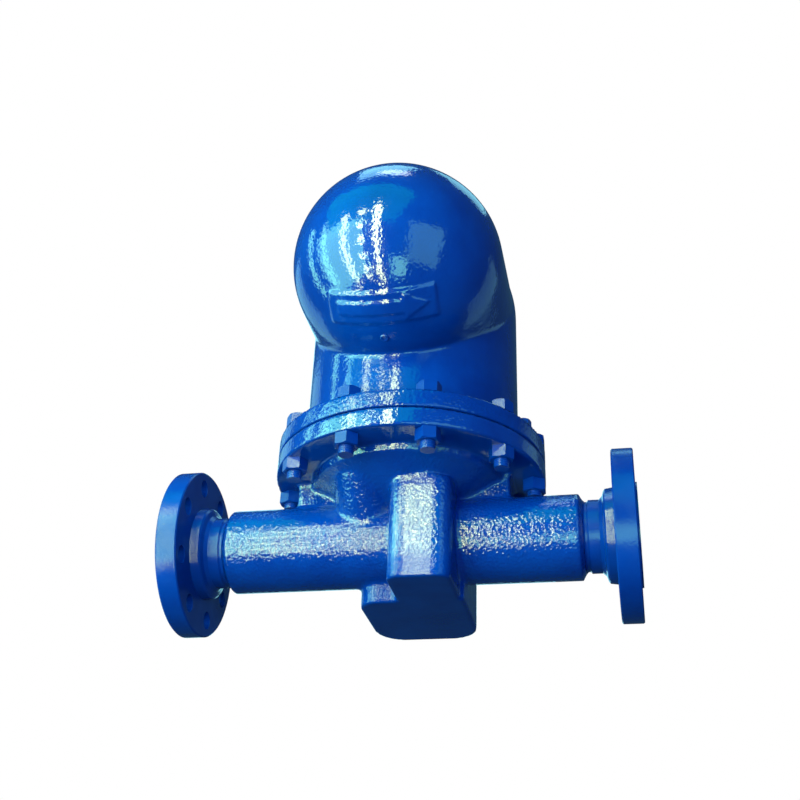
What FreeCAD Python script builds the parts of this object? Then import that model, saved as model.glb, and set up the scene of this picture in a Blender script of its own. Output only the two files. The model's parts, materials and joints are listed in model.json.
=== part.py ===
import FreeCAD, Part
import math
import os
import re
import Sketcher

# Flanged ball float steam trap.  Millimetres.  Origin at the centre of the inlet
# flange's raised face, +X along the pipe to the outlet, +Z up, float chamber
# reaching out towards -Y.

SIZES = {
    # pipe flanges and their welded necks
    "face_to_face": 580.0,
    "flange_radius": 105.0,
    "flange_thick": 28.6,
    "face_radius": 63.5,
    "face_raise": 2.0,
    "stud_circle": 84.15,
    "stud_hole": 11.2,
    "hub_radius": 58.5,
    "hub_collar": 41.0,
    "hub_root": 47.0,
    "rim_chamfer": 1.5,
    "pipe_radius": 44.45,
    "hub_length": 60.0,
    "flange_bore": 38.95,
    "weld_width": 6.0,
    "weld_dip": 2.2,
    # cast arms, feet and passages of the body
    "arm_radius": 52.5,
    "arm_bore": 39.5,
    "turned_end": 1.0,
    "arm_shoulder": 4.0,
    "riser_radius": 38.0,
    "riser_bore": 28.0,
    "riser_back": 50.0,
    "riser_lean": 40.0,
    "riser_length": 108.0,
    "riser_start": 8.0,
    "saddle_reach": 136.0,
    "saddle_half": 28.0,
    "foot_drop": 77.0,
    "foot_left": 61.0,
    "foot_right": 71.0,
    "foot_front": 8.0,
    "foot_back": 136.0,
    "foot_corner": 24.0,
    "foot_round": 38.0,
    "foot_top": 20.0,
    "block_left": -11.0,
    "block_width": 77.0,
    "block_round": 17.0,
    "block_front": 90.0,
    "block_top": 52.0,
    "outlet_hole": 12.0,
    "outlet_wall": 14.0,
    "inlet_wall": 34.0,
    # casing joint
    "casing_x": 296.0,
    "casing_radius": 172.0,
    "joint_low": 78.0,
    "joint_top": 102.0,
    "gasket_thick": 1.5,
    "cover_thick": 22.5,
    "bowl_radius": 125.0,
    "cavity_radius": 112.0,
    "cavity_floor": 76.0,
    "gasket_inner": 116.0,
    "gasket_outer": 148.0,
    "bolt_circle": 158.0,
    "bolt_count": 10.0,
    "bolt_radius": 9.0,
    "bolt_hole": 10.0,
    "bolt_flats": 27.0,
    "bolt_head": 15.0,
    "nut_height": 15.5,
    "bolt_tip": 10.0,
    "short_tip": 6.5,
    "jack_radius": 6.0,
    "jack_flats": 18.0,
    "jack_head": 8.0,
    "jack_stand": 5.0,
    # cover
    "neck_radius": 138.0,
    "lobe_radius": 136.5,
    "cover_wall": 11.0,
    "lobe_height": 333.0,
    "lobe_reach": 128.0,
    "pad_width": 133.0,
    "pad_height": 40.0,
    "pad_raise": 2.0,
    "arrow_raise": 3.6,
    "arrow_shaft": 84.0,
    "arrow_half": 8.0,
    "arrow_head": 19.0,
    # outlet valve
    "housing_left": 24.0,
    "housing_width": 80.0,
    "housing_front": 40.0,
    "housing_depth": 92.0,
    "housing_height": 12.5,
    "screw_inset": 8.0,
    "screw_radius": 4.0,
    "screw_flats": 13.0,
    "screw_head": 5.5,
    "screw_reach": 12.0,
    "seat_radius": 18.0,
    "seat_collar": 22.0,
    "seat_bore": 11.0,
    "seat_rise": 5.0,
    "plug_radius": 14.0,
    "plug_tip": 8.0,
    "plug_thick": 6.0,
    "plug_boss": 10.0,
    "rest_gap": 0.05,
    # float lever
    "pivot_y": 40.0,
    "pivot_z": 320.0,
    "pivot_radius": 5.0,
    "bracket_thick": 16.0,
    "bracket_width": 18.0,
    "bracket_foot": 46.0,
    "bracket_plate": 8.0,
    "foot_screw": 3.0,
    "foot_screw_flats": 10.0,
    "lever_gap": 0.5,
    "lever_plate": 5.0,
    "lever_depth": 20.0,
    "lever_tail": 12.0,
    "lever_front": 28.0,
    "bridge_thick": 8.0,
    "bridge_low": 288.0,
    "running_gap": 0.05,
    "pin_radius": 4.0,
    "clip_thick": 1.0,
    "clip_rim": 3.0,
    "pin_end": 2.5,
    "float_radius": 88.0,
    "float_wall": 1.5,
    "float_y": 125.0,
    "float_z": 300.0,
    "float_boss": 9.0,
    "float_stud": 5.0,
    "float_nut": 14.0,
    "rod_radius": 5.0,
    "rod_eye": 12.0,
    "eye_width": 18.0,
    "eye_height": 24.0,
    "eye_slot": 2.0,
    "eye_play": 0.2,
    # thermostatic air vent
    "vent_x": 340.0,
    "vent_y": 6.0,
    "vent_low": 84.0,
    "vent_base": 396.0,
    "vent_socket": 6.0,
    "vent_plate": 12.0,
    "vent_cup": 22.0,
    "vent_radius": 24.0,
    "vent_wall": 3.0,
    "vent_tube": 6.0,
    "vent_bore": 4.0,
    "vent_seat": 2.5,
    "vent_gap": 2.0,
    "vent_disc": 5.0,
    "vent_lift": 3.0,
    "capsule_radius": 17.0,
    "capsule_thick": 8.0,
    "clip_wire": 1.2,
}

BOLT_PHASE = 18.0
JACK_PHASE = 72.0
PAD_TILT = 56.0

X_AXIS = FreeCAD.Vector(1, 0, 0)
Y_AXIS = FreeCAD.Vector(0, 1, 0)
Z_AXIS = FreeCAD.Vector(0, 0, 1)
UP = FreeCAD.Rotation()
ALONG_X = FreeCAD.Rotation(Y_AXIS, 90)
AGAINST_X = FreeCAD.Rotation(Y_AXIS, -90)
TOWARDS_FRONT = FreeCAD.Rotation(X_AXIS, 90)
TOWARDS_BACK = FreeCAD.Rotation(X_AXIS, -90)

doc = FreeCAD.newDocument("steam_trap")
dims = doc.addObject("Spreadsheet::Sheet", "dims")
for row, (alias, number) in enumerate(SIZES.items(), start=1):
    dims.set("A%d" % row, alias)
    dims.set("B%d" % row, str(number))
    dims.setAlias("B%d" % row, alias)
doc.recompute()

nodes = []


def rule(text):
    """Turn size names into references to the spreadsheet."""
    return re.sub(r"[a-z]+(?:_[a-z]+)+", lambda word: "dims." + word.group(), str(text))


def number(text):
    """Value of an expression of size names."""
    return float(dims.evalExpression(rule(text)))


def place(item, x=0, y=0, z=0, turn=UP):
    """Put an item at a point given by expressions."""
    item.Placement = FreeCAD.Placement(FreeCAD.Vector(), turn)
    for letter, text in zip("xyz", (x, y, z)):
        item.setExpression("Placement.Base." + letter, rule(text))
    return item


def primitive(kind, sizes, x=0, y=0, z=0, turn=UP):
    """A Part primitive whose sizes and place are bound to the sheet."""
    item = doc.addObject("Part::" + kind, kind)
    for name, text in sizes.items():
        item.setExpression(name, rule(text))
    return place(item, x, y, z, turn)


def rod(radius, height, x=0, y=0, z=0, turn=UP):
    return primitive("Cylinder", {"Radius": radius, "Height": height}, x, y, z, turn)


def cone(low, top, height, x=0, y=0, z=0, turn=UP):
    return primitive("Cone", {"Radius1": low, "Radius2": top, "Height": height}, x, y, z, turn)


def block(length, width, height, x=0, y=0, z=0, turn=UP):
    return primitive("Box", {"Length": length, "Width": width, "Height": height}, x, y, z, turn)


def ball(radius, x=0, y=0, z=0):
    return primitive("Sphere", {"Radius": radius}, x, y, z)


def dome(radius, x=0, y=0, z=0, turn=UP):
    """Half a ball, flat face down before it is turned."""
    item = primitive("Sphere", {"Radius": radius}, x, y, z, turn)
    item.Angle1 = 0
    return item


def joined(*items):
    """Several solids made into one."""
    item = doc.addObject("Part::MultiFuse", "Joined")
    item.Shapes = list(items)
    return item


def cut(base, *tools):
    """A solid with the tools taken out of it."""
    item = doc.addObject("Part::Cut", "Cut")
    item.Base = base
    item.Tool = tools[0] if len(tools) == 1 else joined(*tools)
    return item


def common(first, second):
    item = doc.addObject("Part::MultiCommon", "Common")
    item.Shapes = [first, second]
    return item


def turned(points, x=0, y=0, z=0, turn=UP):
    """A lathe-turned body: a closed profile of (radius, height) points."""
    body = doc.addObject("PartDesign::Body", "Turned")
    sketch = body.newObject("Sketcher::SketchObject", "Profile")
    plane = [item for item in body.Origin.OriginFeatures if item.Role == "XZ_Plane"][0]
    sketch.AttachmentSupport = [(plane, "")]
    sketch.MapMode = "FlatFace"
    corners = [FreeCAD.Vector(number(radius), number(height), 0) for radius, height in points]
    count = len(corners)
    for index in range(count):
        sketch.addGeometry(Part.LineSegment(corners[index], corners[(index + 1) % count]), False)
    for index in range(count):
        sketch.addConstraint(Sketcher.Constraint("Coincident", index, 2, (index + 1) % count, 1))
    for index, texts in enumerate(points):
        for way, text, size in zip(("DistanceX", "DistanceY"), texts, corners[index]):
            held = sketch.addConstraint(Sketcher.Constraint(way, -1, 1, index, 1, size))
            sketch.setExpression("Constraints[%d]" % held, rule(text))
    spin = body.newObject("PartDesign::Revolution", "Spin")
    spin.Profile = sketch
    spin.ReferenceAxis = (sketch, ["V_Axis"])
    spin.Angle = 360
    return place(body, x, y, z, turn)


def sleeve(inner, outer, length, x=0, y=0, z=0, turn=UP):
    """A turned ring or tube."""
    points = [(inner, 0), (outer, 0), (outer, length), (inner, length)]
    return turned(points, x, y, z, turn)


def round_places(radius, angle, centre_x="casing_x", centre_y="0"):
    """Expressions of a point on a circle, the angle counted from the front."""
    x = "%s + %s * sin(%g deg)" % (centre_x, radius, angle)
    y = "%s - %s * cos(%g deg)" % (centre_y, radius, angle)
    return x, y


def hexagon(flats, height, x, y, z, turn=UP):
    """A hexagonal head whose outer corners are chamfered."""
    prism = primitive("Prism", {"Circumradius": flats + " / 2 / cos(30 deg)", "Height": height},
                      x, y, z, turn)
    prism.Polygon = 6
    trim = cone("%s * 0.475 + 1.732 * %s" % (flats, height), flats + " * 0.475", height,
                x, y, z, turn)
    return common(prism, trim)


def node(item, label):
    """Name a finished sub-part."""
    item.Label = label
    nodes.append(item)
    return item


def bolt_angles():
    count = int(SIZES["bolt_count"])
    return [BOLT_PHASE + 360.0 * index / count for index in range(count)]


def jack_angles():
    return [JACK_PHASE, JACK_PHASE + 180.0]


def pipe_flange(label, x, turn):
    """Weld-neck flange, raised face at its origin, neck along its own +Z."""
    blank = turned([
        ("flange_bore", 0), ("face_radius", 0), ("face_radius", "face_raise"),
        ("flange_radius - rim_chamfer", "face_raise"),
        ("flange_radius", "face_raise + rim_chamfer"),
        ("flange_radius", "flange_thick - rim_chamfer"),
        ("flange_radius - rim_chamfer", "flange_thick"), ("hub_radius", "flange_thick"),
        ("hub_radius - 1.5", "hub_collar - 2"), ("hub_radius - 4", "hub_collar"),
        ("pipe_radius + 4", "hub_collar + 2"), ("pipe_radius", "hub_root"),
        ("pipe_radius", "hub_length"),
        ("flange_bore", "hub_length"),
    ], x, 0, 0, turn)
    holes = []
    for index in range(8):
        angle = 22.5 + 45.0 * index
        y = "stud_circle * cos(%g deg)" % angle
        z = "stud_circle * sin(%g deg)" % angle
        holes.append(rod("stud_hole", "flange_thick", x, y, z, turn))
    node(cut(blank, *holes), label)


def weld_ring(label, x, turn):
    """Hollow-faced weld between a flange's neck and the body's arm."""
    node(turned([
        ("arm_bore", 0), ("pipe_radius - 0.5", 0), ("pipe_radius - weld_dip", "weld_width * 0.3"),
        ("pipe_radius - weld_dip", "weld_width * 0.7"), ("pipe_radius - 0.5", "weld_width"),
        ("arm_bore", "weld_width"),
    ], x, 0, 0, turn), label)


def cast_arm(x, length, turn):
    """One horizontal pipe arm with a turned end, as far as the casing's axis."""
    return turned([
        (0, 0), ("pipe_radius", 0), ("pipe_radius", "turned_end"),
        ("arm_radius", "turned_end + arm_shoulder"), ("arm_radius", length), (0, length),
    ], x, 0, 0, turn)


def foot():
    """Flat-bottomed foot with round corners, behind and to the left of the pillar."""
    height = "foot_drop + foot_top"
    low = "0 - foot_drop"

    def slab(left, right, front, back):
        """A box between sides counted from the casing's axis."""
        return block("(%s) - (%s)" % (right, left), "(%s) - (%s)" % (back, front), height,
                     "casing_x + (%s)" % left, front, low)

    left, right, front, back = "0 - foot_left", "foot_right", "0 - foot_front", "foot_back"
    pieces = [
        slab(left, right, front + " + foot_corner", back + " - foot_round"),
        slab(left + " + foot_corner", right, front, back + " - foot_round"),
        slab(left + " + foot_round", right + " - foot_round", front, back),
    ]
    corners = [("foot_corner", left + " + foot_corner", front + " + foot_corner"),
               ("foot_round", left + " + foot_round", back + " - foot_round"),
               ("foot_round", right + " - foot_round", back + " - foot_round")]
    for radius, x, y in corners:
        pieces.append(rod(radius, height, "casing_x + " + x, y, low))
    return joined(*pieces)


def pillar():
    """Upright block through the outlet arm, with round corners at its front."""
    height = "foot_drop + block_top"
    low = "0 - foot_drop"
    left = "casing_x + block_left"
    front = "0 - block_front"
    depth = "block_front + foot_back / 2"
    pieces = [
        block("block_width", depth + " - block_round", height, left, front + " + block_round", low),
        block("block_width - 2 * block_round", depth, height, left + " + block_round", front, low),
    ]
    for x in (left + " + block_round", left + " + block_width - block_round"):
        pieces.append(rod("block_round", height, x, front + " + block_round", low))
    return joined(*pieces)


def make_body():
    """Cast body: dish, casing flange, riser, saddle, foot and the two arms."""
    start = "(hub_length + weld_width)"
    end = "(face_to_face - hub_length - weld_width)"
    dish = turned([
        (0, 0), ("bowl_radius * 0.32", 26), ("bowl_radius * 0.72", "joint_low - 26"),
        ("bowl_radius * 0.92", "joint_low - 12"), ("bowl_radius", "joint_low - 8"),
        ("bowl_radius", "joint_low"),
        ("casing_radius", "joint_low"), ("casing_radius", "joint_top"), (0, "joint_top"),
    ], "casing_x")
    inlet_arm = cast_arm(start, "casing_x - " + start, ALONG_X)
    outlet_arm = cast_arm(end, end + " - casing_x", AGAINST_X)
    lean = FreeCAD.Rotation(X_AXIS, SIZES["riser_lean"])
    riser = rod("riser_radius", "riser_length", "casing_x - riser_back", "riser_start", 0, lean)
    saddle = block("saddle_reach * 2", "saddle_half * 2", "joint_low + 1",
                   "casing_x - 6 - saddle_reach", "0 - saddle_half")
    cavity = turned([
        (0, "cavity_floor"), ("cavity_radius - 26", "cavity_floor"),
        ("cavity_radius - 14", "cavity_floor + 3"),
        ("cavity_radius", "cavity_floor + 16"), ("cavity_radius", "joint_top + 12"),
        (0, "joint_top + 12"),
    ], "casing_x")
    inlet_bore = rod("arm_bore", "casing_x - inlet_wall - " + start, start, 0, 0, ALONG_X)
    outlet_bore = rod("arm_bore", end + " - casing_x + outlet_wall", "casing_x - outlet_wall",
                      0, 0, ALONG_X)
    riser_bore = rod("riser_bore", "cavity_floor + 3", "casing_x - riser_back - 6")
    outlet_hole = rod("outlet_hole", "cavity_floor + 1", "casing_x")
    tools = [cavity, inlet_bore, outlet_bore, riser_bore, outlet_hole]
    for angle in bolt_angles():
        x, y = round_places("bolt_circle", angle)
        tools.append(rod("bolt_hole", "joint_top - joint_low + 2", x, y, "joint_low - 1"))
    for x, y in screw_places():
        tools.append(rod("screw_radius + running_gap", "screw_reach + 1", x, y,
                         "cavity_floor - screw_reach"))
    solid = joined(dish, inlet_arm, outlet_arm, riser, saddle, foot(), pillar())
    node(cut(solid, *tools), "body")


def hood(radius, lobe, low):
    """The cover's bent shell: an upright neck and a lobe reaching out to the front."""
    return joined(
        rod(radius, "lobe_height - (%s)" % low, "casing_x", 0, low),
        dome(radius, "casing_x", 0, "lobe_height"),
        rod(lobe, "lobe_reach", "casing_x", 0, "lobe_height", TOWARDS_FRONT),
        dome(lobe, "casing_x", "0 - lobe_reach", "lobe_height", TOWARDS_FRONT),
    )


def flow_mark():
    """Raised arrow on a curved pad under the lobe, pointing the way of the flow."""
    tilt = FreeCAD.Rotation(X_AXIS, 90 + PAD_TILT)
    across = FreeCAD.Vector(0, 1, 0)

    def slab(length, height, left, low):
        """A block that reaches out of the lobe's centre along the pad's normal."""
        item = block(length, height, "lobe_radius * 2")
        item.Placement = FreeCAD.Placement(FreeCAD.Vector(), tilt)
        down = tilt.multVec(across)
        item.setExpression("Placement.Base.x", rule("casing_x + %s" % left))
        item.setExpression("Placement.Base.y", rule("0 - lobe_reach + (%s) * %.6f" % (low, down.y)))
        item.setExpression("Placement.Base.z", rule("lobe_height + (%s) * %.6f" % (low, down.z)))
        return item

    pad = slab("pad_width", "pad_height", "0 - pad_width / 2 - 2", "0 - pad_height / 2")
    pad_shell = ball("lobe_radius + pad_raise", "casing_x", "0 - lobe_reach", "lobe_height")
    shaft = slab("arrow_shaft", "arrow_half * 2", "0 - pad_width * 0.43", "0 - arrow_half")
    head = primitive("Prism", {"Circumradius": "arrow_head", "Height": "lobe_radius * 2"},
                     "casing_x - pad_width * 0.43 + arrow_shaft + arrow_head / 2",
                     "0 - lobe_reach", "lobe_height", tilt)
    head.Polygon = 3
    arrow_shell = ball("lobe_radius + arrow_raise", "casing_x", "0 - lobe_reach", "lobe_height")
    return [common(pad, pad_shell), common(joined(shaft, head), arrow_shell)]


def make_cover():
    """Cast cover with its flange, bent hood and flow mark."""
    low = "joint_top + gasket_thick"
    flange = rod("casing_radius", "cover_thick", "casing_x", 0, low)
    fillet = cone("neck_radius + 9", "neck_radius", 12, "casing_x", 0, low + " + cover_thick")
    outside = joined(flange, fillet, hood("neck_radius", "lobe_radius", low), *flow_mark())
    inside = hood("neck_radius - cover_wall", "lobe_radius - cover_wall", low + " - 1")
    tools = [inside]
    for angle in bolt_angles():
        x, y = round_places("bolt_circle", angle)
        tools.append(rod("bolt_hole", "cover_thick + 2", x, y, low + " - 1"))
        tools.append(rod("bolt_flats * 0.62", "bolt_head + 4", x, y, low + " + cover_thick"))
    for angle in jack_angles():
        x, y = round_places("bolt_circle", angle)
        tools.append(rod("jack_radius", "cover_thick + 2", x, y, low + " - 1"))
    node(cut(outside, *tools), "cover")


def make_casing_joint():
    """Gasket, bolts, nuts and jacking screws of the casing joint."""
    node(sleeve("gasket_inner", "gasket_outer", "gasket_thick", "casing_x", 0, "joint_top"),
         "casing_gasket")
    top = "joint_top + gasket_thick + cover_thick"
    low = "joint_low - nut_height"
    for index, angle in enumerate(bolt_angles(), start=1):
        x, y = round_places("bolt_circle", angle)
        facing = FreeCAD.Rotation(Z_AXIS, angle)
        over_arm = abs(math.sin(math.radians(angle))) > 0.99
        tip = "short_tip" if over_arm else "bolt_tip"
        shank = rod("bolt_radius", "%s - (%s) + %s" % (top, low, tip), x, y, low + " - " + tip)
        head = hexagon("bolt_flats", "bolt_head", x, y, top, facing)
        node(joined(shank, head), "casing_bolt_%02d" % index)
        upside_down = facing.multiply(FreeCAD.Rotation(X_AXIS, 180))
        nut = hexagon("bolt_flats", "nut_height", x, y, "joint_low", upside_down)
        node(cut(nut, rod("bolt_radius", "nut_height", x, y, low)), "casing_nut_%02d" % index)
    for index, angle in enumerate(jack_angles(), start=1):
        x, y = round_places("bolt_circle", angle)
        shank = rod("jack_radius", "cover_thick + jack_stand", x, y, "joint_top + gasket_thick")
        head = hexagon("jack_flats", "jack_head", x, y, top + " + jack_stand",
                       FreeCAD.Rotation(Z_AXIS, angle))
        node(joined(shank, head), "jacking_screw_%d" % index)


def screw_places():
    """The housing's four corner screws."""
    left = "casing_x - housing_left + screw_inset"
    right = "casing_x - housing_left + housing_width - screw_inset"
    front = "screw_inset - housing_front"
    back = "housing_depth - housing_front - screw_inset"
    return [(x, y) for x in (left, right) for y in (front, back)]


def bracket_screw_places():
    """The two screws that hold the lever bracket's foot."""
    return [("casing_x + bracket_foot / 2 - 4", "pivot_y"),
            ("casing_x + bracket_foot - 15", "pivot_y")]


def make_outlet_valve():
    """Valve housing on the body's floor, its screws, gaskets and seat."""
    base = "cavity_floor + gasket_thick"
    top = base + " + housing_height"
    left = "casing_x - housing_left"

    gasket = block("housing_width", "housing_depth", "gasket_thick", left, "0 - housing_front",
                   "cavity_floor")
    gasket_holes = [rod("outlet_hole + 2", "gasket_thick", "casing_x", 0, "cavity_floor")]
    housing = block("housing_width", "housing_depth", "housing_height", left,
                    "0 - housing_front", base)
    holes = [rod("seat_radius", "housing_height", "casing_x", 0, base + " + 2"),
             rod("outlet_hole", "housing_height", "casing_x", 0, base),
             rod("vent_tube", "housing_height", "vent_x", "vent_y", "vent_low")]
    for x, y in screw_places():
        gasket_holes.append(rod("screw_radius + 1", "gasket_thick", x, y, "cavity_floor"))
        holes.append(rod("screw_radius + running_gap", "housing_height", x, y, base))
    for x, y in bracket_screw_places():
        holes.append(rod("foot_screw", "housing_height - 3", x, y, base + " + 3"))
    node(cut(gasket, *gasket_holes), "housing_gasket")
    node(cut(housing, *holes), "valve_housing")

    for index, (x, y) in enumerate(screw_places(), start=1):
        shank = rod("screw_radius", "screw_reach + gasket_thick + housing_height", x, y,
                    "cavity_floor - screw_reach")
        head = hexagon("screw_flats", "screw_head", x, y, top)
        node(joined(shank, head), "housing_screw_%d" % index)

    rise = "housing_height - 2"
    node(turned([
        ("seat_bore", 0), ("seat_radius", 0), ("seat_radius", rise + " + 1"),
        ("seat_collar", rise + " + 1"), ("seat_collar", rise + " + 1 + seat_rise"),
        ("seat_bore", rise + " + 1 + seat_rise"),
    ], "casing_x", 0, base + " + 2"), "valve_seat")
    node(sleeve("seat_radius", "seat_collar", 1, "casing_x", 0, top), "seat_gasket")


def make_bracket():
    """Post that carries the float lever's pivot, with its two screws."""
    low = "cavity_floor + gasket_thick + housing_height"
    plate = block("bracket_foot", "bracket_width + 2", "bracket_plate",
                  "casing_x - bracket_thick / 2", "pivot_y - bracket_width / 2 - 1", low)
    post = block("bracket_thick", "bracket_width", "pivot_z - (%s)" % low,
                 "casing_x - bracket_thick / 2", "pivot_y - bracket_width / 2", low)
    crown = rod("bracket_width / 2", "bracket_thick", "casing_x - bracket_thick / 2", "pivot_y",
                "pivot_z", ALONG_X)
    holes = [rod("pivot_radius", "bracket_thick", "casing_x - bracket_thick / 2", "pivot_y",
                 "pivot_z", ALONG_X)]
    for x, y in bracket_screw_places():
        holes.append(rod("foot_screw + running_gap", "bracket_plate", x, y, low))
    node(cut(joined(plate, post, crown), *holes), "lever_bracket")
    for index, (x, y) in enumerate(bracket_screw_places(), start=1):
        shank = rod("foot_screw", "bracket_plate + housing_height - 3", x, y,
                    "cavity_floor + gasket_thick + 3")
        head = hexagon("foot_screw_flats", 4, x, y, low + " + bracket_plate")
        node(joined(shank, head), "bracket_screw_%d" % index)


def pin_and_clips(pin_label, clip_label, radius, y, z):
    """A cross pin held by a retaining ring outside each lever plate."""
    half = "bracket_thick / 2 + lever_gap + lever_plate"
    node(rod(radius, "(%s + clip_thick + pin_end) * 2" % half,
             "casing_x - (%s) - clip_thick - pin_end" % half, y, z, ALONG_X), pin_label)
    for index, side in enumerate((-1, 1), start=1):
        x = "casing_x + (%s + running_gap) * %d" % (half, side)
        turn = ALONG_X if side > 0 else AGAINST_X
        node(sleeve(radius, radius + " + clip_rim", "clip_thick", x, y, z, turn),
             "%s_%d" % (clip_label, index))


def make_float_lever():
    """Two-plate lever, its pins, and the hollow float on its stud and nut."""
    inner = "bracket_thick / 2 + lever_gap"
    plates = []
    for start in ("casing_x + %s" % inner, "casing_x - (%s) - lever_plate" % inner):
        plates.append(block("lever_plate", "lever_front + pivot_y + lever_tail", "lever_depth",
                            start, "0 - lever_front", "pivot_z - lever_depth / 2"))
    span = "(%s + lever_plate) * 2" % inner
    bridge = block(span, "bridge_thick", "pivot_z + lever_depth / 2 - bridge_low",
                   "casing_x - (%s) / 2" % span, "0 - lever_front", "bridge_low")
    left = "casing_x - (%s) / 2 - 1" % span
    holes = [
        rod("pivot_radius + running_gap", span + " + 2", left, "pivot_y", "pivot_z", ALONG_X),
        rod("pin_radius", span + " + 2", left, 0, "pivot_z", ALONG_X),
        rod("float_stud", "bridge_thick", "casing_x", "0 - lever_front", "float_z", TOWARDS_BACK),
    ]
    node(cut(joined(bridge, *plates), *holes), "float_lever")
    pin_and_clips("pivot_pin", "pivot_clip", "pivot_radius", "pivot_y", "pivot_z")
    pin_and_clips("rod_pin", "rod_clip", "pin_radius", 0, "pivot_z")

    shell = cut(ball("float_radius", "casing_x", "0 - float_y", "float_z"),
                ball("float_radius - float_wall", "casing_x", "0 - float_y", "float_z"))
    boss_start = "float_radius - float_y - 7"
    boss = rod("float_boss", "0 - lever_front - (%s)" % boss_start, "casing_x", boss_start,
               "float_z", TOWARDS_BACK)
    socket = rod("float_stud", 20, "casing_x", boss_start + " + 3", "float_z", TOWARDS_BACK)
    node(cut(joined(shell, boss), socket), "float_ball")
    nut_start = "bridge_thick - lever_front"
    node(rod("float_stud", "%s + 8 - (%s + 3)" % (nut_start, boss_start), "casing_x",
             boss_start + " + 3", "float_z", TOWARDS_BACK), "float_stud")
    nut = hexagon("float_nut", 6, "casing_x", nut_start, "float_z", TOWARDS_BACK)
    node(cut(nut, rod("float_stud", 6, "casing_x", nut_start, "float_z", TOWARDS_BACK)),
         "float_nut")


def make_valve_rod():
    """Rod with a slotted eye, and the plug that closes the seat."""
    seat_top = "cavity_floor + gasket_thick + housing_height + 1 + seat_rise"
    plug_low = seat_top + " + rest_gap"
    node(turned([
        (0, "0 - plug_tip"), ("plug_tip * 0.6", "0 - plug_tip"), ("plug_tip", 0),
        ("plug_radius", 0), ("plug_radius", "plug_thick"), ("plug_tip", "plug_thick"),
        ("plug_tip", "plug_thick + plug_boss"), ("rod_radius", "plug_thick + plug_boss"),
        ("rod_radius", "plug_thick"), (0, "plug_thick"),
    ], "casing_x", 0, plug_low), "valve_plug")

    stem_low = plug_low + " + plug_thick"
    stem = rod("rod_radius", "pivot_z - eye_height / 2 + 1 - (%s)" % stem_low, "casing_x", 0,
               stem_low)
    eye = block("rod_eye", "eye_width", "eye_height", "casing_x - rod_eye / 2",
                "0 - eye_width / 2", "pivot_z - eye_height / 2")
    slot = [block("rod_eye", "eye_slot * 2", "(pin_radius + eye_play) * 2",
                  "casing_x - rod_eye / 2", "0 - eye_slot", "pivot_z - pin_radius - eye_play")]
    for y in ("0 - eye_slot", "eye_slot"):
        slot.append(rod("pin_radius + eye_play", "rod_eye", "casing_x - rod_eye / 2", y,
                        "pivot_z", ALONG_X))
    node(cut(joined(stem, eye), *slot), "valve_rod")


def make_air_vent():
    """Thermostatic air vent high in the hood, on a tube down to the outlet."""
    node(sleeve("vent_bore", "vent_tube", "vent_base + vent_socket - vent_low", "vent_x",
                "vent_y", "vent_low"), "air_vent_tube")
    node(turned([
        ("vent_tube", 0), ("vent_radius", 0), ("vent_radius", "vent_plate + vent_cup"),
        ("vent_radius - vent_wall", "vent_plate + vent_cup"),
        ("vent_radius - vent_wall", "vent_plate"), ("vent_seat", "vent_plate"),
        ("vent_seat", "vent_socket"), ("vent_tube", "vent_socket"),
    ], "vent_x", "vent_y", "vent_base"), "air_vent_body")
    disc = "vent_base + vent_plate + vent_gap"
    node(turned([
        (0, 0), ("vent_disc", 0), ("vent_disc", 2), ("vent_seat", 2),
        ("vent_seat", "2 + vent_lift"), (0, "2 + vent_lift"),
    ], "vent_x", "vent_y", disc), "air_vent_valve")
    node(turned([
        (0, 0), ("capsule_radius - 3", 0), ("capsule_radius", "capsule_thick / 2 - 1"),
        ("capsule_radius", "capsule_thick / 2 + 1"), ("capsule_radius - 3", "capsule_thick"),
        (0, "capsule_thick"),
    ], "vent_x", "vent_y", disc + " + 2 + vent_lift"), "air_vent_capsule")
    node(primitive("Torus", {"Radius1": "vent_radius - vent_wall - clip_wire",
                             "Radius2": "clip_wire"},
                   "vent_x", "vent_y", disc + " + vent_lift + capsule_thick + 3"),
         "air_vent_clip")


def check_document():
    """Stop if any object failed or any sub-part's shape is empty or broken."""
    for item in doc.Objects:
        if "Invalid" in item.State or "Error" in item.State:
            raise RuntimeError("failed: %s %s" % (item.Label, item.State))
    for item in nodes:
        if item.Shape.isNull() or not item.Shape.isValid():
            raise RuntimeError("bad shape: " + item.Label)
        if len(item.Shape.Solids) != 1:
            raise RuntimeError("%s has %d solids" % (item.Label, len(item.Shape.Solids)))


def write_parts():
    os.makedirs("parts", exist_ok=True)
    for item in nodes:
        item.Shape.exportStep("parts/%s.step" % item.Label)
        box = item.Shape.BoundBox
        print("%-18s x %6.1f %6.1f  y %6.1f %6.1f  z %6.1f %6.1f  %8.1f cm3" % (
            item.Label, box.XMin, box.XMax, box.YMin, box.YMax, box.ZMin, box.ZMax,
            item.Shape.Volume / 1000))


pipe_flange("inlet_flange", 0, ALONG_X)
pipe_flange("outlet_flange", "face_to_face", AGAINST_X)
weld_ring("inlet_weld", "hub_length", ALONG_X)
weld_ring("outlet_weld", "face_to_face - hub_length", AGAINST_X)
make_body()
make_cover()
make_casing_joint()
make_outlet_valve()
make_bracket()
make_float_lever()
make_valve_rod()
make_air_vent()
doc.recompute()
check_document()
write_parts()
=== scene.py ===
import bmesh
import bpy
import json
import math
from mathutils import Matrix, Vector


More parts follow.
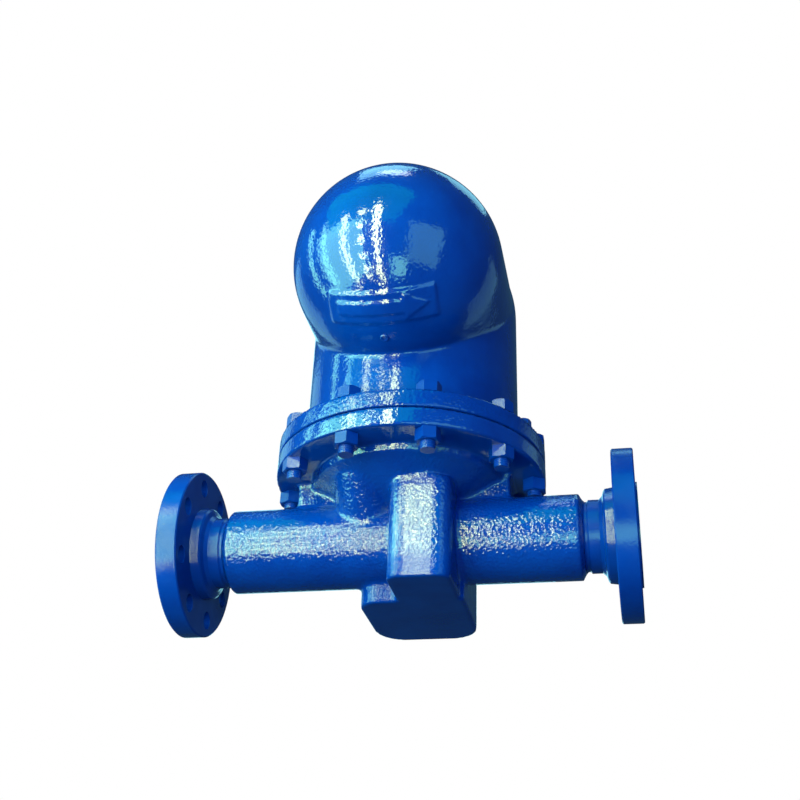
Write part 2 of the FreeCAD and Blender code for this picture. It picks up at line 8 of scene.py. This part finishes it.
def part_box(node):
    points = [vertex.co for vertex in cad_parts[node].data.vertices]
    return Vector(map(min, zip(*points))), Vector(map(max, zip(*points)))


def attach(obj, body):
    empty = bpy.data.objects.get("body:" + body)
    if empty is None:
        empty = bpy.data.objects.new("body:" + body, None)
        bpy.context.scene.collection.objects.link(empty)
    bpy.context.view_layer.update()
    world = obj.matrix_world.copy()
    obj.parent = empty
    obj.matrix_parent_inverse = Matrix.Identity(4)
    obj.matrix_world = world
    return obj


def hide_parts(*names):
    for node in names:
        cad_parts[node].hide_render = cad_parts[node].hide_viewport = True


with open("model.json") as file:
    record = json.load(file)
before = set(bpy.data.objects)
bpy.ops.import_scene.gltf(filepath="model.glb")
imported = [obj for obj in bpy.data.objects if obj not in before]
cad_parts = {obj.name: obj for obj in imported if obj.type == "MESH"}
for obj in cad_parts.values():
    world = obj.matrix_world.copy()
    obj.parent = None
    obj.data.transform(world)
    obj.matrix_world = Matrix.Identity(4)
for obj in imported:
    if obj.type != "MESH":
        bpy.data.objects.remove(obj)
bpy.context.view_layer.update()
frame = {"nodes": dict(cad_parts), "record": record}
NODES = frame["nodes"]

# ---------------------------------------------------------------- places, from the frame
BODY_LOW, BODY_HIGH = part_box("body")
GASKET_LOW, GASKET_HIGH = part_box("casing_gasket")
INLET_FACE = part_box("inlet_flange")[0][0]
OUTLET_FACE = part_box("outlet_flange")[1][0]

PIPE_MIDDLE = (INLET_FACE + OUTLET_FACE) / 2
CASING_X = (GASKET_LOW[0] + GASKET_HIGH[0]) / 2
FLANGE_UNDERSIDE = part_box("casing_nut_01")[1][2]
COVER_FLANGE_TOP = 0.126
COVER_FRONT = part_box("cover")[0][1]
LOBE_RADIUS = 0.1365
LOBE_HEIGHT = 0.333
CASING_BOLTS = range(1, 11)
BOLT_RADIUS = 0.009


# ---------------------------------------------------------------- node helpers
def new_material(name):
    """A node material, with its tree and its Principled shader."""
    material = bpy.data.materials.new(name)
    material.use_nodes = True
    tree = material.node_tree
    shader = tree.nodes["Principled BSDF"]
    return material, tree, shader


def add(tree, kind, **settings):
    """A node with its plain properties set."""
    item = tree.nodes.new(kind)
    for key, setting in settings.items():
        setattr(item, key, setting)
    return item


def noise_field(tree, scale, detail=2.0, rough=0.5, stretch=(1, 1, 1)):
    """Noise in the object's own coordinates; returns its value socket."""
    place = add(tree, "ShaderNodeTexCoord")
    mapping = add(tree, "ShaderNodeMapping")
    mapping.inputs["Scale"].default_value = stretch
    field = add(tree, "ShaderNodeTexNoise")
    field.inputs["Scale"].default_value = scale
    field.inputs["Detail"].default_value = detail
    field.inputs["Roughness"].default_value = rough
    tree.links.new(place.outputs["Object"], mapping.inputs["Vector"])
    tree.links.new(mapping.outputs["Vector"], field.inputs["Vector"])
    return field.outputs["Fac"]


def ramp(tree, source, low, high, low_value, high_value):
    """A value mapped from one range to another."""
    item = add(tree, "ShaderNodeMapRange")
    for name, number in (("From Min", low), ("From Max", high), ("To Min", low_value),
                         ("To Max", high_value)):
        item.inputs[name].default_value = number
    tree.links.new(source, item.inputs["Value"])
    return item.outputs["Result"]


def multiply(tree, first, second):
    """The product of two value sockets."""
    item = add(tree, "ShaderNodeMath", operation="MULTIPLY")
    tree.links.new(first, item.inputs[0])
    tree.links.new(second, item.inputs[1])
    return item.outputs[0]


def mix_colour(tree, factor, first, second):
    """A colour between two plain colours, by a value socket."""
    item = add(tree, "ShaderNodeMix", data_type="RGBA")
    tree.links.new(factor, item.inputs["Factor"])
    item.inputs["A"].default_value = (*first, 1)
    item.inputs["B"].default_value = (*second, 1)
    return item.outputs["Result"]


def own_place(tree):
    """The point's own coordinates, split into X, Y and Z sockets."""
    place = add(tree, "ShaderNodeTexCoord")
    split = add(tree, "ShaderNodeSeparateXYZ")
    tree.links.new(place.outputs["Object"], split.inputs["Vector"])
    return split.outputs


def height_split(tree, low, high, below, above):
    """A value that changes with height above the pipe's centre line."""
    return ramp(tree, own_place(tree)["Z"], low, high, below, above)


def bump(tree, shader, layers):
    """Stacked bumps; each layer is (height socket, strength, distance in metres)."""
    last = None
    for height, strength, distance in layers:
        item = add(tree, "ShaderNodeBump")
        item.inputs["Strength"].default_value = strength
        item.inputs["Distance"].default_value = distance
        tree.links.new(height, item.inputs["Height"])
        if last is not None:
            tree.links.new(last, item.inputs["Normal"])
        last = item.outputs["Normal"]
    tree.links.new(last, shader.inputs["Normal"])


# ---------------------------------------------------------------- materials
PAINT_DEEP = (0.0, 0.020, 0.195)
PAINT_BRIGHT = (0.0, 0.030, 0.250)
TONE_SCALE = 14
SHEEN_SCALE = 60
COAT_ROUGHNESS = 0.03
LUMP_SIZE = 4
LUMP_STRENGTH = 0.5
GRAIN_STRENGTH = 0.8
TURNED_METAL = (0.62, 0.60, 0.56)
TURNED_DEPTH = 0.0004

# each split is (from height, to height, value below, value above); reliefs are shares
RELIEF_UNDER_FLANGE = (FLANGE_UNDERSIDE - 0.0035, FLANGE_UNDERSIDE - 0.001, 1.0, 0.12)
RELIEF_BODY_RIM = (FLANGE_UNDERSIDE + 0.001, FLANGE_UNDERSIDE + 0.003, 1.0, 3.6)
RELIEF_FOOT = (BODY_LOW[2] + 0.0008, BODY_LOW[2] + 0.005, 0.15, 1.0)
RELIEF_COVER_RIM = (COVER_FLANGE_TOP + 0.004, COVER_FLANGE_TOP + 0.024, 2.0, 1.0)
SHINE_FOOT = (-0.056, -0.044, 0.2, 0.7)
SHINE_NECK = (0.185, 0.205, 0.48, 0.7)


def paint(name, grain, grain_height, roughness, shine, coat=0.0, lump_height=0, reliefs=()):
    """Gloss blue enamel over a fine grain, and over broader lumps where lump_height is set."""
    material, tree, shader = new_material(name)
    tone = ramp(tree, noise_field(tree, TONE_SCALE, 3), 0.35, 0.65, 0, 1)
    tree.links.new(mix_colour(tree, tone, PAINT_DEEP, PAINT_BRIGHT), shader.inputs["Base Color"])
    sheen = ramp(tree, noise_field(tree, SHEEN_SCALE, 3), 0.3, 0.7,
                 roughness * 0.8, roughness * 1.3)
    tree.links.new(sheen, shader.inputs["Roughness"])
    shader.inputs["Specular IOR Level"].default_value = shine
    shader.inputs["Coat Weight"].default_value = coat
    shader.inputs["Coat Roughness"].default_value = COAT_ROUGHNESS
    heights = [(noise_field(tree, grain, 1.0, 0.4), GRAIN_STRENGTH, grain_height)]
    if lump_height:
        lumps = noise_field(tree, grain / LUMP_SIZE, 2, 0.5)
        heights.insert(0, (lumps, LUMP_STRENGTH, lump_height))
    for split in reliefs:
        share = height_split(tree, *split)
        heights = [(multiply(tree, field, share), strength, depth)
                   for field, strength, depth in heights]
    bump(tree, shader, heights)
    return material


def vary_shine(material, split):
    """A shine that changes with height, less where the enamel was left thin."""
    tree = material.node_tree
    shader = tree.nodes["Principled BSDF"]
    tree.links.new(height_split(tree, *split), shader.inputs["Specular IOR Level"])


def flange_paint():
    """Gloss paint with the raised face left as bare turned metal."""
    material = paint("flange_paint", 300, 0.00020, 0.20, 0.42)
    tree = material.node_tree
    colour = tree.nodes["Principled BSDF"].inputs["Base Color"]
    away = add(tree, "ShaderNodeMath", operation="SUBTRACT")
    tree.links.new(own_place(tree)["X"], away.inputs[0])
    away.inputs[1].default_value = PIPE_MIDDLE
    size = add(tree, "ShaderNodeMath", operation="ABSOLUTE")
    tree.links.new(away.outputs[0], size.inputs[0])
    face = (OUTLET_FACE - INLET_FACE) / 2
    bare = ramp(tree, size.outputs[0], face - TURNED_DEPTH, face - TURNED_DEPTH / 2, 0, 1)
    item = add(tree, "ShaderNodeMix", data_type="RGBA")
    tree.links.new(bare, item.inputs["Factor"])
    tree.links.new(colour.links[0].from_socket, item.inputs["A"])
    item.inputs["B"].default_value = (*TURNED_METAL, 1)
    tree.links.new(item.outputs["Result"], colour)
    return material


def metal(name, colour, roughness, brushed=600):
    """Bare steel or iron with a fine brushed finish."""
    material, tree, shader = new_material(name)
    field = noise_field(tree, brushed, 2, 0.5, (1, 1, 0.08))
    dark = tuple(channel * 0.85 for channel in colour)
    tree.links.new(mix_colour(tree, field, dark, colour), shader.inputs["Base Color"])
    shader.inputs["Metallic"].default_value = 1
    tree.links.new(ramp(tree, field, 0.3, 0.7, roughness * 0.8, roughness * 1.25),
                   shader.inputs["Roughness"])
    bump(tree, shader, [(field, 0.15, 0.0001)])
    return material


def graphite(name):
    """Matt dark gasket sheet."""
    material, tree, shader = new_material(name)
    field = noise_field(tree, 900, 3)
    tree.links.new(mix_colour(tree, field, (0.008, 0.01, 0.02), (0.03, 0.035, 0.05)),
                   shader.inputs["Base Color"])
    shader.inputs["Roughness"].default_value = 0.8
    bump(tree, shader, [(field, 0.3, 0.0002)])
    return material


CAST_PAINT = paint("cast_paint", 280, 0.0010, 0.07, 0.7, coat=0.25, lump_height=0.0014,
                   reliefs=(RELIEF_UNDER_FLANGE, RELIEF_BODY_RIM, RELIEF_FOOT))
vary_shine(CAST_PAINT, SHINE_FOOT)
DOME_PAINT = paint("dome_paint", 260, 0.00026, 0.10, 0.7, coat=0.08, lump_height=0.0007,
                   reliefs=(RELIEF_COVER_RIM,))
vary_shine(DOME_PAINT, SHINE_NECK)
SMOOTH_PAINT = paint("smooth_paint", 420, 0.00015, 0.38, 0.35)
FASTENER_PAINT = paint("fastener_paint", 420, 0.00012, 0.20, 0.34)
FLANGE_PAINT = flange_paint()
STAINLESS = metal("stainless_steel", (0.6, 0.61, 0.63), 0.28)
HARDENED = metal("hardened_steel", (0.48, 0.49, 0.52), 0.2)
SPRING = metal("spring_steel", (0.34, 0.35, 0.38), 0.32)
IRON = metal("machined_iron", (0.23, 0.23, 0.24), 0.45, 300)
GRAPHITE = graphite("graphite")


# ---------------------------------------------------------------- mesh helpers
def link_piece(name, data):
    """A new object in the scene."""
    piece = bpy.data.objects.new(name, data)
    bpy.context.scene.collection.objects.link(piece)
    return piece


def copy_node(name, label):
    """A free copy of a CAD node's mesh."""
    return link_piece(label, NODES[name].data.copy())


def build_piece(name, mesh):
    """A new object from a bmesh, which is freed."""
    data = bpy.data.meshes.new(name)
    mesh.to_mesh(data)
    mesh.free()
    return link_piece(name, data)


def bridge(mesh, rows):
    """Faces between each closed row of points and the next."""
    for first, second in zip(rows, rows[1:]):
        for side in range(len(first)):
            other = (side + 1) % len(first)
            mesh.faces.new((first[side], first[other], second[other], second[side]))


def apply_modifiers(piece):
    """The piece's mesh replaced by what its modifiers make of it."""
    graph = bpy.context.evaluated_depsgraph_get()
    mesh = bpy.data.meshes.new_from_object(piece.evaluated_get(graph))
    piece.modifiers.clear()
    old = piece.data
    piece.data = mesh
    bpy.data.meshes.remove(old)


def finish_piece(piece, body, material, slot, *nodes):
    """Paint a piece, ride it on its body and hide the CAD nodes it replaces."""
    piece.data.materials.clear()
    piece.data.materials.append(material)
    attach(piece, body)
    if nodes:
        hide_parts(*nodes)


# ---------------------------------------------------------------- castings
MACHINED_SHARE = 0.04
MARK_TOP = (0.255, 0.262)
MARK_BACK = (-0.200, -0.190)
PIP_DIRECTION = (-0.038, -0.279, -0.96)
PIP_PROFILE = ((0.0062, -0.001), (0.0056, 0.0008), (0.0044, 0.0018), (0.0030, 0.0016),
               (0.0018, 0.0006))
PIP_SIDES = 24


def smooth_step(number, low, high):
    """0 below low, 1 above high, smooth between."""
    share = min(1.0, max(0.0, (number - low) / (high - low)))
    return share * share * (3 - 2 * share)


def body_weight(point):
    """Full rounding under the dish and on the arms, little on the machined parts."""
    below = 1 - smooth_step(point.z, FLANGE_UNDERSIDE - 0.006, FLANGE_UNDERSIDE - 0.001)
    arm_end = smooth_step(min(point.x - BODY_LOW[0], BODY_HIGH[0] - point.x), 0.006, 0.014)
    return MACHINED_SHARE + (1 - MACHINED_SHARE) * below * arm_end


def cover_weight(point):
    """Full rounding above the flange, little on the raised flow mark."""
    above = smooth_step(point.z, COVER_FLANGE_TOP + 0.001, COVER_FLANGE_TOP + 0.010)
    mark = (1 - smooth_step(point.z, *MARK_TOP)) * (1 - smooth_step(point.y, *MARK_BACK))
    return MACHINED_SHARE + (1 - MACHINED_SHARE) * above * (1 - mark)


def cast_skin(piece, voxel, rounds, weight):
    """Remesh a piece and round its corners as a mould does; weight gives each point's share."""
    remesh = piece.modifiers.new("remesh", "REMESH")
    remesh.mode = "VOXEL"
    remesh.voxel_size = voxel
    apply_modifiers(piece)
    group = piece.vertex_groups.new(name="round")
    for vertex in piece.data.vertices:
        group.add([vertex.index], weight(vertex.co), "REPLACE")
    smooth = piece.modifiers.new("round", "SMOOTH")
    smooth.factor = 0.5
    smooth.iterations = rounds
    smooth.vertex_group = "round"
    apply_modifiers(piece)
    piece.vertex_groups.clear()
    for polygon in piece.data.polygons:
        polygon.use_smooth = True


def make_castings():
    """Body and cover, with a mould's soft corners."""
    body = copy_node("body", "body_casting")
    cast_skin(body, 0.0024, 11, body_weight)
    finish_piece(body, "casing", CAST_PAINT, "painted_casting", "body")
    cover = copy_node("cover", "cover_casting")
    cast_skin(cover, 0.0020, 12, cover_weight)
    finish_piece(cover, "casing", DOME_PAINT, "painted_casting", "cover")


def make_pip():
    """Small round boss cast under the flow mark, with a dimple."""
    towards = Vector(PIP_DIRECTION).normalized()
    centre = Vector((CASING_X, COVER_FRONT + LOBE_RADIUS, LOBE_HEIGHT)) + towards * LOBE_RADIUS
    turn = towards.to_track_quat("Z", "Y").to_matrix()
    mesh = bmesh.new()
    rings = []
    for radius, rise in PIP_PROFILE:
        ring = []
        for side in range(PIP_SIDES):
            angle = 2 * math.pi * side / PIP_SIDES
            point = Vector((radius * math.cos(angle), radius * math.sin(angle), rise))
            ring.append(mesh.verts.new(centre + turn @ point))
        rings.append(ring)
    bridge(mesh, rings)
    mesh.faces.new(reversed(rings[0]))
    mesh.faces.new(rings[-1])
    piece = build_piece("cover_pip", mesh)
    for polygon in piece.data.polygons:
        polygon.use_smooth = len(polygon.vertices) == 4
    finish_piece(piece, "casing", DOME_PAINT, "painted_casting")


# ---------------------------------------------------------------- fasteners
THREAD_PITCH = 0.0025
THREAD_SIDES = 36
# the ridge's outline, as (height over the shank, share of the pitch)
THREAD_OUTLINE = ((-0.0003, 0), (0.000385, 0.3), (0.000385, 0.45), (-0.0003, 0.75))
EDGE_WIDTH = 0.0012
EDGE_SEGMENTS = 3
EDGE_ANGLE = 25


def make_fasteners():
    """Casing bolts and nuts with their edges broken, so that the paint catches the light."""
    for index in CASING_BOLTS:
        for kind in ("casing_bolt", "casing_nut"):
            name = "%s_%02d" % (kind, index)
            piece = copy_node(name, "painted_" + name)
            bevel = piece.modifiers.new("edge", "BEVEL")
            bevel.width = EDGE_WIDTH
            bevel.segments = EDGE_SEGMENTS
            bevel.limit_method = "ANGLE"
            bevel.angle_limit = math.radians(EDGE_ANGLE)
            apply_modifiers(piece)
            finish_piece(piece, "casing", FASTENER_PAINT, "painted_fastener", name)


def make_threads():
    """Screw thread on the end of each casing bolt, below its nut."""
    for index in CASING_BOLTS:
        low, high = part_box("casing_bolt_%02d" % index)
        nut_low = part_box("casing_nut_%02d" % index)[0][2]
        x = (low[0] + high[0]) / 2
        y = (low[1] + high[1]) / 2
        turns = (nut_low - low[2] - 0.0015) / THREAD_PITCH
        mesh = bmesh.new()
        rows = []
        for step in range(int(turns * THREAD_SIDES) + 1):
            angle = 2 * math.pi * step / THREAD_SIDES
            base = low[2] + 0.001 + THREAD_PITCH * step / THREAD_SIDES
            row = []
            for out, rise in THREAD_OUTLINE:
                radius = BOLT_RADIUS + out
                row.append(mesh.verts.new((x + radius * math.cos(angle),
                                           y + radius * math.sin(angle),
                                           base + rise * THREAD_PITCH)))
            rows.append(row)
        bridge(mesh, rows)
        mesh.faces.new(rows[0])
        mesh.faces.new(reversed(rows[-1]))
        bmesh.ops.recalc_face_normals(mesh, faces=mesh.faces)
        piece = build_piece("casing_thread_%02d" % index, mesh)
        finish_piece(piece, "casing", SMOOTH_PAINT, "painted_fastener")


# ---------------------------------------------------------------- CAD nodes that stay
SLOT_MATERIALS = {
    "painted_steel": FLANGE_PAINT,
    "painted_fastener": SMOOTH_PAINT,
    "graphite": GRAPHITE,
    "hardened_steel": HARDENED,
    "spring_steel": SPRING,
    "stainless_steel": STAINLESS,
    "machined_iron": IRON,
}


def paint_nodes():
    """Each CAD node's material, by its slot in the record."""
    for part in frame["record"]["subparts"]:
        material = SLOT_MATERIALS.get(part["material_slot"])
        if material is None:
            continue
        node = NODES[part["node"]]
        if not node.material_slots:
            node.data.materials.append(material)
        for held in node.material_slots:
            held.material = material


# ---------------------------------------------------------------- camera
CAMERA_PLACE = Vector((PIPE_MIDDLE + 0.28528, -1.36265, -0.58621))
CAMERA_YAW = -12.52
CAMERA_PITCH = 31.13
CAMERA_ROLL = 2.39
CAMERA_LENS = 53.82
CAMERA_SENSOR = 36
CAMERA_SHIFT = (0.0023, -0.0369)


def make_camera():
    """Camera below and to the right, looking up at the casing as the photographer did."""
    data = bpy.data.cameras.new("camera")
    data.lens = CAMERA_LENS
    data.sensor_width = CAMERA_SENSOR
    data.shift_x, data.shift_y = CAMERA_SHIFT
    camera = bpy.data.objects.new("camera", data)
    bpy.context.scene.collection.objects.link(camera)
    yaw, pitch, roll = (math.radians(turn) for turn in (CAMERA_YAW, CAMERA_PITCH, CAMERA_ROLL))
    forward = Vector((math.sin(yaw) * math.cos(pitch), math.cos(yaw) * math.cos(pitch),
                      math.sin(pitch)))
    level = Vector((math.cos(yaw), -math.sin(yaw), 0))
    upright = level.cross(forward)
    right = level * math.cos(roll) + upright * math.sin(roll)
    up = upright * math.cos(roll) - level * math.sin(roll)
    turn = Matrix((right, up, -forward)).transposed()
    camera.matrix_world = Matrix.Translation(CAMERA_PLACE) @ turn.to_4x4()
    bpy.context.scene.camera = camera


# ---------------------------------------------------------------- lights
KEY_COLOUR = (0.84, 1.0, 0.42)
GLOW_COLOUR = (0.30, 1.0, 0.62)
FRONT_COLOUR = (0.0, 1.0, 0.65)
FILL_COLOUR = (0.0, 0.28, 1.0)
SKY_COLOUR = (0.8, 0.95, 1.0)
RIM_COLOUR = (0.32, 0.85, 1.0)

# name, azimuth, lowest point, highest point, distance, width, radiance, colour
UPRIGHT_LIGHTS = (
    ("strip_main", -9, -1.05, 1.15, 1.3, 0.10, 28, KEY_COLOUR),
    ("strip_left", -39.5, -0.82, 1.0, 1.3, 0.11, 15, KEY_COLOUR),
    ("strip_faint", -62, -0.3, 1.0, 1.3, 0.12, 7, GLOW_COLOUR),
    ("strip_far", -82, -0.2, 1.1, 1.3, 0.10, 7, GLOW_COLOUR),
    ("strip_right", 12, -0.80, -0.20, 1.3, 0.36, 5.5, GLOW_COLOUR),
    ("panel_left", -47, -0.80, 0.95, 1.6, 1.50, 6.0, GLOW_COLOUR),
    ("panel_right", 36, -0.50, 0.75, 1.7, 1.0, 1.5, GLOW_COLOUR),
    ("rim_right", 128, -0.4, 1.2, 2.0, 0.9, 0.45, RIM_COLOUR),
    ("back_soft", -165, 0.2, 1.8, 2.2, 1.2, 1.6, RIM_COLOUR),
    ("rim_left", -125, -0.1, 1.4, 2.0, 1.0, 1.0, RIM_COLOUR),
)
# name, azimuth, distance, height, size, power, colour
OVERHEAD_LIGHTS = (
    ("ceiling", -100, 0.35, 2.4, (1.0, 0.8), 7, RIM_COLOUR),
    ("top_front", -15, 0.25, 1.6, (0.36, 0.20), 0.9, SKY_COLOUR),
    ("front_top", -25, 2.0, 1.9, (3.4, 2.2), 29, FRONT_COLOUR),
    ("back_top", 150, 1.3, 2.5, (1.0, 0.8), 4, RIM_COLOUR),
)
OVERHEAD_TARGET = 0.15
LAMP_AZIMUTH = -23
LAMP_DISTANCE = 1.3
LAMP_HEIGHTS = (0.95, 0.62, 0.30, -0.04, -0.36, -0.62)
LAMP_SIZE = 0.15
LAMP_POWER = 1.2
FILL_SIZE = (2.4, 1.7)
FILL_POWER = 38


def around(azimuth, distance, height):
    """A place beside the casing, the azimuth counted from the front towards +X."""
    turn = math.radians(azimuth)
    return Vector((CASING_X + math.sin(turn) * distance, -math.cos(turn) * distance, height))


def area_light(name, place, target, size, power, colour):
    """A soft light at a place, facing a target; size is one number for a disc."""
    data = bpy.data.lights.new(name, "AREA")
    if isinstance(size, tuple):
        data.shape = "RECTANGLE"
        data.size, data.size_y = size
    else:
        data.shape = "DISK"
        data.size = size
    data.energy = power
    data.color = colour
    lamp = bpy.data.objects.new(name, data)
    bpy.context.scene.collection.objects.link(lamp)
    lamp.location = place
    lamp.rotation_euler = (place - target).to_track_quat("Z", "Y").to_euler()
    lamp.visible_camera = False
    return lamp


def make_lights():
    """Upright strips and dim panels, a blue fill, a column of small lamps, lights overhead."""
    for name, azimuth, low, high, distance, width, radiance, colour in UPRIGHT_LIGHTS:
        middle = (low + high) / 2
        power = radiance * math.pi * width * (high - low)
        area_light(name, around(azimuth, distance, middle), around(0, 0, middle),
                   (width, high - low), power, colour)
    fill = area_light("front_fill", around(0, 1.9, -0.1), around(0, 0, 0.1), FILL_SIZE,
                      FILL_POWER, FILL_COLOUR)
    fill.visible_glossy = False
    for index, height in enumerate(LAMP_HEIGHTS):
        area_light("lamp_%d" % index, around(LAMP_AZIMUTH, LAMP_DISTANCE, height),
                   around(0, 0, height), LAMP_SIZE, LAMP_POWER, KEY_COLOUR)
    for name, azimuth, distance, height, size, power, colour in OVERHEAD_LIGHTS:
        area_light(name, around(azimuth, distance, height), around(0, 0, OVERHEAD_TARGET), size,
                   power, colour)


# ---------------------------------------------------------------- world and floor
WORLD_GLOW = (0.22, 0.6, 1.0)
WORLD_STRENGTH = 0.13
FLOOR_Z = -2.4
FLOOR_SIZE = 40
FLOOR_TONES = ((0.66, 0.67, 0.69), (0.70, 0.71, 0.73))
FLOOR_OWN_LIGHT = 0.8
FLOOR_BASE = (0.12, 0.10, 0.10)


def make_world():
    """Pure white for the camera, a faint blue glow for everything else."""
    world = bpy.data.worlds.new("studio")
    world.use_nodes = True
    tree = world.node_tree
    glow = tree.nodes["Background"]
    glow.inputs["Color"].default_value = (*WORLD_GLOW, 1)
    glow.inputs["Strength"].default_value = WORLD_STRENGTH
    backdrop = add(tree, "ShaderNodeBackground")
    backdrop.inputs["Color"].default_value = (1, 1, 1, 1)
    backdrop.inputs["Strength"].default_value = 1.0
    path = add(tree, "ShaderNodeLightPath")
    choose = add(tree, "ShaderNodeMixShader")
    tree.links.new(path.outputs["Is Camera Ray"], choose.inputs["Fac"])
    tree.links.new(glow.outputs["Background"], choose.inputs[1])
    tree.links.new(backdrop.outputs["Background"], choose.inputs[2])
    tree.links.new(choose.outputs["Shader"], tree.nodes["World Output"].inputs["Surface"])
    bpy.context.scene.world = world
    bpy.context.scene.view_settings.view_transform = "Standard"


def make_floor():
    """Plain pale floor far below, lit by itself and kept out of the paint's reflections."""
    bpy.ops.mesh.primitive_plane_add(size=FLOOR_SIZE, location=(CASING_X, 0, FLOOR_Z))
    floor = bpy.context.object
    floor.name = "floor"
    material, tree, shader = new_material("pale_floor")
    tone = noise_field(tree, 3, 2)
    tree.links.new(mix_colour(tree, tone, *FLOOR_TONES), shader.inputs["Emission Color"])
    shader.inputs["Emission Strength"].default_value = FLOOR_OWN_LIGHT
    shader.inputs["Base Color"].default_value = (*FLOOR_BASE, 1)
    shader.inputs["Roughness"].default_value = 0.7
    floor.data.materials.append(material)
    floor.visible_glossy = False
    floor.visible_diffuse = False


make_camera()
make_world()
make_lights()
make_floor()
paint_nodes()
make_castings()
make_fasteners()
make_threads()
make_pip()
